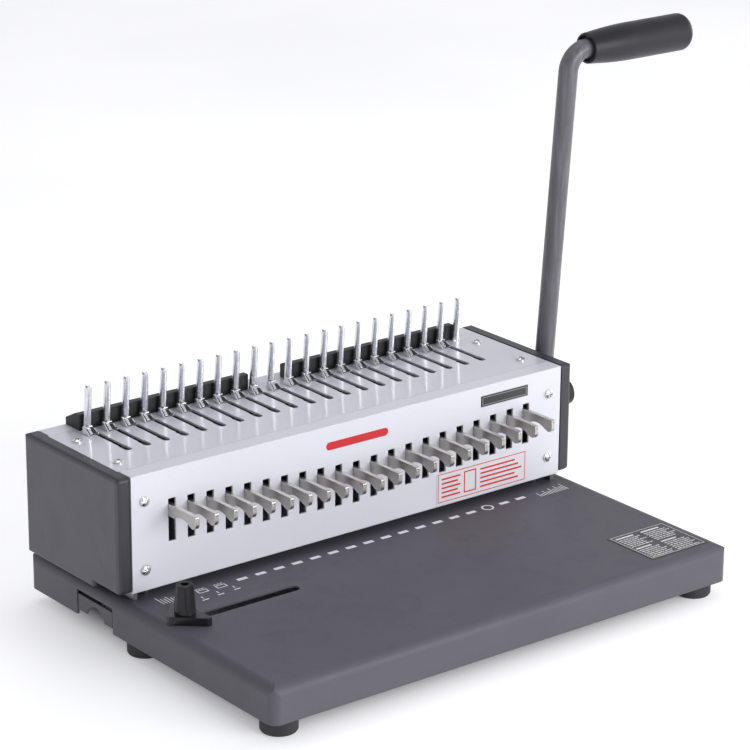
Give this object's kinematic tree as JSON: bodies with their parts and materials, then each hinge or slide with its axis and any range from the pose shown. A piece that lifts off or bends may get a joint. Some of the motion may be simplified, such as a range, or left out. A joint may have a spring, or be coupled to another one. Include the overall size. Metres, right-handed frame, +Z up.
{
  "type": "comb binding machine",
  "caption": "Desktop comb binding machine: one side lever punches a row of rectangular holes and opens the plastic comb held on a row of prongs.",
  "frame": {"origin": "on the table, in the middle of the machine's outline (lever and grip included)", "axes": "+X to the right along the punch row, towards the lever; +Y to the rear, away from the user; +Z up"},
  "size_m": [0.4774, 0.263, 0.3372],
  "materials": {
    "dark_paint": "satin",
    "silver_paint": "satin",
    "plain_steel": "satin",
    "polished_steel": "polished",
    "nickel_plate": "polished",
    "chrome_plate": "polished",
    "bush_bronze": "satin",
    "black_plastic": "matte",
    "black_label": "satin",
    "pale_label": "satin",
    "black_steel": "satin",
    "grip_rubber": "satin",
    "rubber": "matte"
  },
  "bodies": {
    "frame": {"base_plate": "dark_paint", "rubber_feet": "rubber", "foot_screws": "plain_steel", "die_plate": "plain_steel", "paper_stop": "plain_steel", "punch_guide": "plain_steel", "die_screws": "plain_steel", "left_side_frame": "plain_steel", "right_side_frame": "plain_steel", "frame_screws": "plain_steel", "beam_guide_posts": "polished_steel", "shaft_bushes": "bush_bronze", "front_panel": "silver_paint", "top_plate": "silver_paint", "rear_cover": "silver_paint", "left_end_cap": "dark_paint", "right_end_cap": "dark_paint", "casing_screws": "nickel_plate", "comb_prongs": "chrome_plate", "rear_rails": "black_plastic", "dark_labels": "black_label", "info_label": "pale_label"},
    "lever": {"main_shaft": "polished_steel", "lever_arm": "dark_paint", "lever_grip": "grip_rubber", "lever_washers": "nickel_plate", "lever_bolt": "black_steel", "punch_cams": "plain_steel", "rack_sectors": "plain_steel"},
    "punch_beam": {"punch_beam": "plain_steel", "punch_pins": "polished_steel", "beam_springs": "plain_steel"},
    "comb_carriage": {"comb_carriage": "plain_steel", "comb_hooks": "nickel_plate", "carriage_racks": "plain_steel"},
    "chip_tray": {"chip_tray": "dark_paint"},
    "edge_guide": {"edge_guide": "black_plastic", "guide_nut": "plain_steel"},
    "guide_knob": {"guide_knob": "black_plastic"},
    "pin_pull_01": {"pin_pull_01": "nickel_plate"},
    "pin_pull_02": {"pin_pull_02": "nickel_plate"},
    "pin_pull_03": {"pin_pull_03": "nickel_plate"},
    "pin_pull_04": {"pin_pull_04": "nickel_plate"},
    "pin_pull_05": {"pin_pull_05": "nickel_plate"},
    "pin_pull_06": {"pin_pull_06": "nickel_plate"},
    "pin_pull_07": {"pin_pull_07": "nickel_plate"},
    "pin_pull_08": {"pin_pull_08": "nickel_plate"},
    "pin_pull_09": {"pin_pull_09": "nickel_plate"},
    "pin_pull_10": {"pin_pull_10": "nickel_plate"},
    "pin_pull_11": {"pin_pull_11": "nickel_plate"},
    "pin_pull_12": {"pin_pull_12": "nickel_plate"},
    "pin_pull_13": {"pin_pull_13": "nickel_plate"},
    "pin_pull_14": {"pin_pull_14": "nickel_plate"},
    "pin_pull_15": {"pin_pull_15": "nickel_plate"},
    "pin_pull_16": {"pin_pull_16": "nickel_plate"},
    "pin_pull_17": {"pin_pull_17": "nickel_plate"},
    "pin_pull_18": {"pin_pull_18": "nickel_plate"},
    "pin_pull_19": {"pin_pull_19": "nickel_plate"},
    "pin_pull_20": {"pin_pull_20": "nickel_plate"},
    "pin_pull_21": {"pin_pull_21": "nickel_plate"}
  },
  "joints": [
    {"name": "lever_swing", "type": "hinge", "parent": "frame", "child": "lever", "pos_m": [0, 0.0644, 0.0775], "axis": [1, 0, 0], "range_deg": [0, 85]},
    {"name": "beam_slide", "type": "slide", "parent": "frame", "child": "punch_beam", "axis": [0, 0, -1], "range_m": [0, 0.01401], "deforming": ["beam_springs"]},
    {"name": "carriage_slide", "type": "slide", "parent": "frame", "child": "comb_carriage", "axis": [0, -1, 0], "range_m": [0, 0.0334]},
    {"name": "tray_slide", "type": "slide", "parent": "frame", "child": "chip_tray", "axis": [-1, 0, 0], "range_m": [0, 0.3]},
    {"name": "guide_slide", "type": "slide", "parent": "frame", "child": "edge_guide", "axis": [1, 0, 0], "range_m": [-0.001, 0.08]},
    {"name": "knob_turn", "type": "hinge", "parent": "edge_guide", "child": "guide_knob", "pos_m": [-0.21895, -0.0192, 0.045], "axis": [0, 0, 1], "range_deg": [0, 360]},
    {"name": "pull_01", "type": "slide", "parent": "punch_beam", "child": "pin_pull_01", "axis": [0, -1, 0], "range_m": [0, 0.01]},
    {"name": "pull_02", "type": "slide", "parent": "punch_beam", "child": "pin_pull_02", "axis": [0, -1, 0], "range_m": [0, 0.01]},
    {"name": "pull_03", "type": "slide", "parent": "punch_beam", "child": "pin_pull_03", "axis": [0, -1, 0], "range_m": [0, 0.01]},
    {"name": "pull_04", "type": "slide", "parent": "punch_beam", "child": "pin_pull_04", "axis": [0, -1, 0], "range_m": [0, 0.01]},
    {"name": "pull_05", "type": "slide", "parent": "punch_beam", "child": "pin_pull_05", "axis": [0, -1, 0], "range_m": [0, 0.01]},
    {"name": "pull_06", "type": "slide", "parent": "punch_beam", "child": "pin_pull_06", "axis": [0, -1, 0], "range_m": [0, 0.01]},
    {"name": "pull_07", "type": "slide", "parent": "punch_beam", "child": "pin_pull_07", "axis": [0, -1, 0], "range_m": [0, 0.01]},
    {"name": "pull_08", "type": "slide", "parent": "punch_beam", "child": "pin_pull_08", "axis": [0, -1, 0], "range_m": [0, 0.01]},
    {"name": "pull_09", "type": "slide", "parent": "punch_beam", "child": "pin_pull_09", "axis": [0, -1, 0], "range_m": [0, 0.01]},
    {"name": "pull_10", "type": "slide", "parent": "punch_beam", "child": "pin_pull_10", "axis": [0, -1, 0], "range_m": [0, 0.01]},
    {"name": "pull_11", "type": "slide", "parent": "punch_beam", "child": "pin_pull_11", "axis": [0, -1, 0], "range_m": [0, 0.01]},
    {"name": "pull_12", "type": "slide", "parent": "punch_beam", "child": "pin_pull_12", "axis": [0, -1, 0], "range_m": [0, 0.01]},
    {"name": "pull_13", "type": "slide", "parent": "punch_beam", "child": "pin_pull_13", "axis": [0, -1, 0], "range_m": [0, 0.01]},
    {"name": "pull_14", "type": "slide", "parent": "punch_beam", "child": "pin_pull_14", "axis": [0, -1, 0], "range_m": [0, 0.01]},
    {"name": "pull_15", "type": "slide", "parent": "punch_beam", "child": "pin_pull_15", "axis": [0, -1, 0], "range_m": [0, 0.01]},
    {"name": "pull_16", "type": "slide", "parent": "punch_beam", "child": "pin_pull_16", "axis": [0, -1, 0], "range_m": [0, 0.01]},
    {"name": "pull_17", "type": "slide", "parent": "punch_beam", "child": "pin_pull_17", "axis": [0, -1, 0], "range_m": [0, 0.01]},
    {"name": "pull_18", "type": "slide", "parent": "punch_beam", "child": "pin_pull_18", "axis": [0, -1, 0], "range_m": [0, 0.01]},
    {"name": "pull_19", "type": "slide", "parent": "punch_beam", "child": "pin_pull_19", "axis": [0, -1, 0], "range_m": [0, 0.01]},
    {"name": "pull_20", "type": "slide", "parent": "punch_beam", "child": "pin_pull_20", "axis": [0, -1, 0], "range_m": [0, 0.01]},
    {"name": "pull_21", "type": "slide", "parent": "punch_beam", "child": "pin_pull_21", "axis": [0, -1, 0], "range_m": [0, 0.01]}
  ],
  "couplings": [
    {"joint": "beam_slide", "follows": "lever_swing", "m_per_rad": 0.0094369},
    {"joint": "carriage_slide", "follows": "lever_swing", "m_per_rad": 0.0225}
  ]
}
